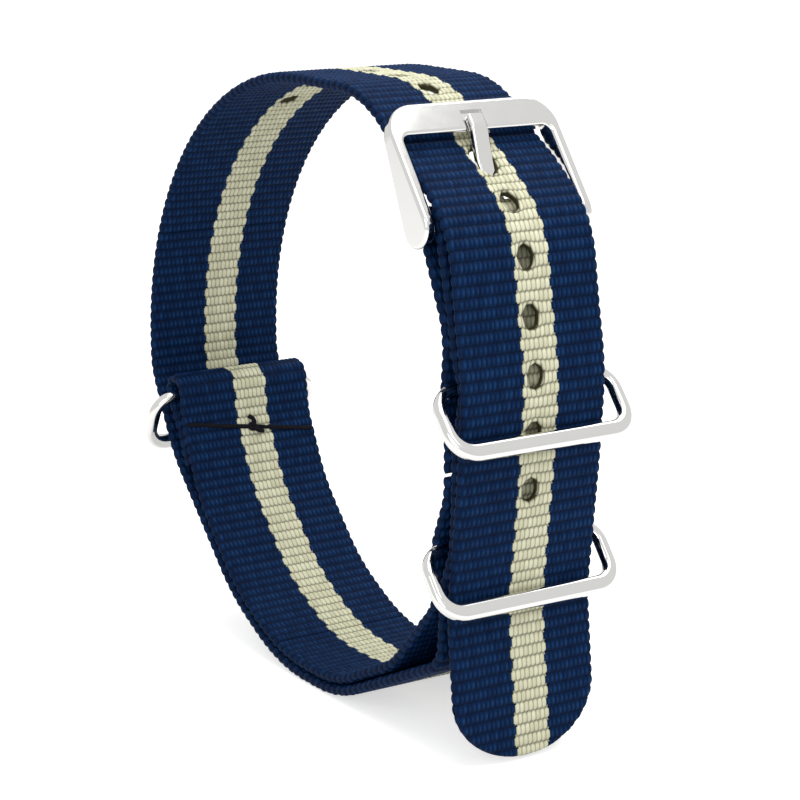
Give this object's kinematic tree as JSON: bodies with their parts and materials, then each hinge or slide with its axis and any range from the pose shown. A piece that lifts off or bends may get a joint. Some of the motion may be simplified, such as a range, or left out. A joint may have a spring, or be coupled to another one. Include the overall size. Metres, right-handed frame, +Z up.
{
  "type": "watch strap",
  "caption": "Woven pull-through watch strap buckled into a ring, with a stripe, punched holes, a tongue buckle and hanging wire keepers.",
  "frame": {"origin": "centre of the bounding box, at the level of the surface that the ring stands on", "axes": "+X across the webbing, to the right as seen from the buckle's side; -Y to the front, the side of the buckle and the tail; +Z up"},
  "size_m": [0.0238, 0.0726, 0.0703],
  "materials": {
    "webbing": "woven, matt",
    "inner_webbing": "woven, matt",
    "thread": "twisted, matt",
    "steel": "polished"
  },
  "bodies": {
    "strap": {"long_strap": "webbing", "short_strap": "inner_webbing", "upper_seam": "thread", "middle_seam": "thread", "lower_seam": "thread", "end_fold_seam": "thread"},
    "buckle": {"buckle_frame": "steel", "buckle_bar": "steel"},
    "tongue": {"buckle_tongue": "steel"},
    "upper_ring": {"upper_keeper": "steel"},
    "lower_ring": {"lower_keeper": "steel"},
    "end_ring": {"end_keeper": "steel"}
  },
  "joints": [
    {"name": "buckle_swing", "type": "hinge", "parent": "strap", "child": "buckle", "pos_m": [0, -0.0265, 0.0569], "axis": [1, 0, 0], "range_deg": [0, 1.2]},
    {"name": "tongue_swing", "type": "hinge", "parent": "buckle", "child": "tongue", "pos_m": [0, -0.0265, 0.0569], "axis": [1, 0, 0], "range_deg": [0, 0.8]},
    {"name": "upper_keeper_swing", "type": "hinge", "parent": "strap", "child": "upper_ring", "pos_m": [0, -0.03086, 0.0406], "axis": [-1, 0, 0], "range_deg": [0, 95]},
    {"name": "lower_keeper_swing", "type": "hinge", "parent": "strap", "child": "lower_ring", "pos_m": [0, -0.02918, 0.02327], "axis": [-1, 0, 0], "range_deg": [0, 85]},
    {"name": "end_keeper_swing", "type": "hinge", "parent": "strap", "child": "end_ring", "pos_m": [0, 0.02993, 0.02797], "axis": [1, 0, 0], "range_deg": [0, 60]}
  ]
}
